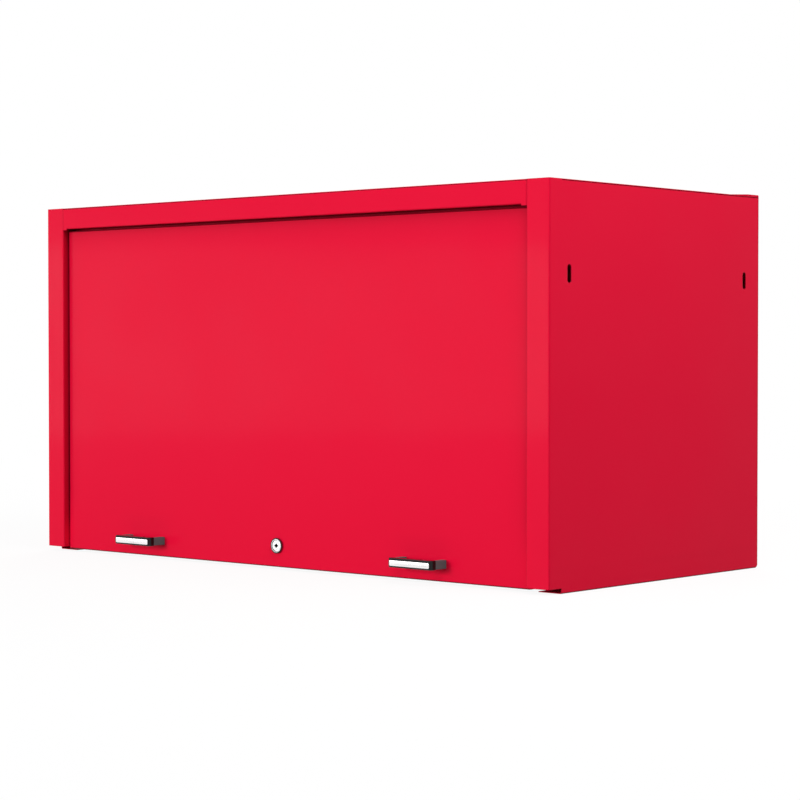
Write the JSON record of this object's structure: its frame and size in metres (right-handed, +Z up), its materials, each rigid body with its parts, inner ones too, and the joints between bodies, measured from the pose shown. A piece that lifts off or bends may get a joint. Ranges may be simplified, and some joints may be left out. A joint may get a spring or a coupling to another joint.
{
  "type": "tool chest hutch",
  "caption": "Open-bottomed steel cabinet for the top of a tool chest, with a lift-up front door on a piano hinge and gas struts, pull handles and a two-rod lock.",
  "frame": {"origin": "middle of the base, between the side panels and half way from the front of the posts to the back, on the plane that the cabinet stands on", "axes": "+X to the right, seen from the front, +Y to the back, +Z up"},
  "size_m": [1.28, 0.6636, 0.693],
  "materials": {
    "red_paint": "gloss powder coat",
    "hinge_steel": "painted with the cabinet",
    "zinc_steel": "bright zinc plate",
    "lock_chrome": "polished",
    "rod_chrome": "ground and polished",
    "handle_dark": "satin dark grey",
    "handle_bright": "polished",
    "strut_black": "gloss black",
    "bumper_rubber": "matt"
  },
  "bodies": {
    "cabinet": {"side_panel_left": "red_paint", "side_panel_right": "red_paint", "roof_rib_left": "red_paint", "roof_rib_right": "red_paint", "door_stop_left": "red_paint", "door_stop_right": "red_paint", "door_bumper_left": "bumper_rubber", "door_bumper_right": "bumper_rubber", "keeper_left": "zinc_steel", "keeper_right": "zinc_steel", "strut_bracket_left": "zinc_steel", "strut_bracket_right": "zinc_steel", "cable_grommet_left": "bumper_rubber", "cable_grommet_right": "bumper_rubber", "roof_panel": "red_paint", "back_panel": "red_paint", "back_rib": "red_paint", "hinge_rail": "hinge_steel", "hinge_leaf_frame": "hinge_steel", "hinge_pin": "hinge_steel", "strut_studs_cabinet": "zinc_steel"},
    "door": {"handle_left": "handle_dark", "handle_right": "handle_dark", "handle_inlay_left": "handle_bright", "handle_inlay_right": "handle_bright", "rod_guide_left": "zinc_steel", "rod_guide_right": "zinc_steel", "strut_mount_left": "zinc_steel", "strut_mount_right": "zinc_steel", "door_skin": "red_paint", "door_brace_left": "red_paint", "door_brace_centre": "red_paint", "door_brace_right": "red_paint", "hinge_leaf_door": "hinge_steel", "handle_screws": "zinc_steel", "lock_gasket": "bumper_rubber", "lock_bezel": "lock_chrome", "lock_barrel": "lock_chrome", "lock_nut": "zinc_steel", "strut_studs_door": "zinc_steel"},
    "lock_plug": {"lock_plug": "lock_chrome", "lock_cam": "zinc_steel", "lock_cam_screw": "zinc_steel"},
    "lock_rod_left": {"lock_rod_left": "zinc_steel"},
    "lock_rod_right": {"lock_rod_right": "zinc_steel"},
    "strut_tube_left": {"strut_tube_left": "strut_black", "strut_eye_lower_left": "zinc_steel"},
    "strut_tube_right": {"strut_tube_right": "strut_black", "strut_eye_lower_right": "zinc_steel"},
    "strut_rod_left": {"strut_rod_left": "rod_chrome", "strut_eye_upper_left": "zinc_steel"},
    "strut_rod_right": {"strut_rod_right": "rod_chrome", "strut_eye_upper_right": "zinc_steel"}
  },
  "joints": [
    {"name": "door_lift", "type": "hinge", "parent": "cabinet", "child": "door", "pos_m": [0, -0.3007, 0.632], "axis": [-1, 0, 0], "range_deg": [0, 90]},
    {"name": "lock_turn", "type": "hinge", "parent": "door", "child": "lock_plug", "pos_m": [0, -0.3055, 0.045], "axis": [0, 1, 0], "range_deg": [0, 90]},
    {"name": "lock_rod_right_slide", "type": "slide", "parent": "door", "child": "lock_rod_right", "axis": [1, 0, 0], "range_m": [0, 0.01414]},
    {"name": "strut_tube_right_swing", "type": "hinge", "parent": "cabinet", "child": "strut_tube_right", "pos_m": [0.574, 0.02208, 0.52516], "axis": [-1, 0, 0], "range_deg": [0, 45]},
    {"name": "strut_rod_right_swing", "type": "hinge", "parent": "door", "child": "strut_rod_right", "pos_m": [0.574, -0.2907, 0.29215], "axis": [1, 0, 0], "range_deg": [0, 45]},
    {"name": "lock_rod_left_slide", "type": "slide", "parent": "door", "child": "lock_rod_left", "axis": [-1, 0, 0], "range_m": [0, 0.01414]},
    {"name": "strut_tube_left_swing", "type": "hinge", "parent": "cabinet", "child": "strut_tube_left", "pos_m": [-0.574, 0.02208, 0.52516], "axis": [-1, 0, 0], "range_deg": [0, 45]},
    {"name": "strut_rod_left_swing", "type": "hinge", "parent": "door", "child": "strut_rod_left", "pos_m": [-0.574, -0.2907, 0.29215], "axis": [1, 0, 0], "range_deg": [0, 45]}
  ],
  "couplings": [
    {"joint": "lock_turn", "follows": "lock_rod_right_slide", "rad_per_m": 111.07},
    {"joint": "lock_rod_left_slide", "follows": "lock_rod_right_slide", "ratio": 1},
    {"joint": "strut_tube_right_swing", "follows": "door_lift", "ratio": 0.5},
    {"joint": "strut_rod_right_swing", "follows": "door_lift", "ratio": 0.5},
    {"joint": "strut_tube_left_swing", "follows": "door_lift", "ratio": 0.5},
    {"joint": "strut_rod_left_swing", "follows": "door_lift", "ratio": 0.5}
  ]
}
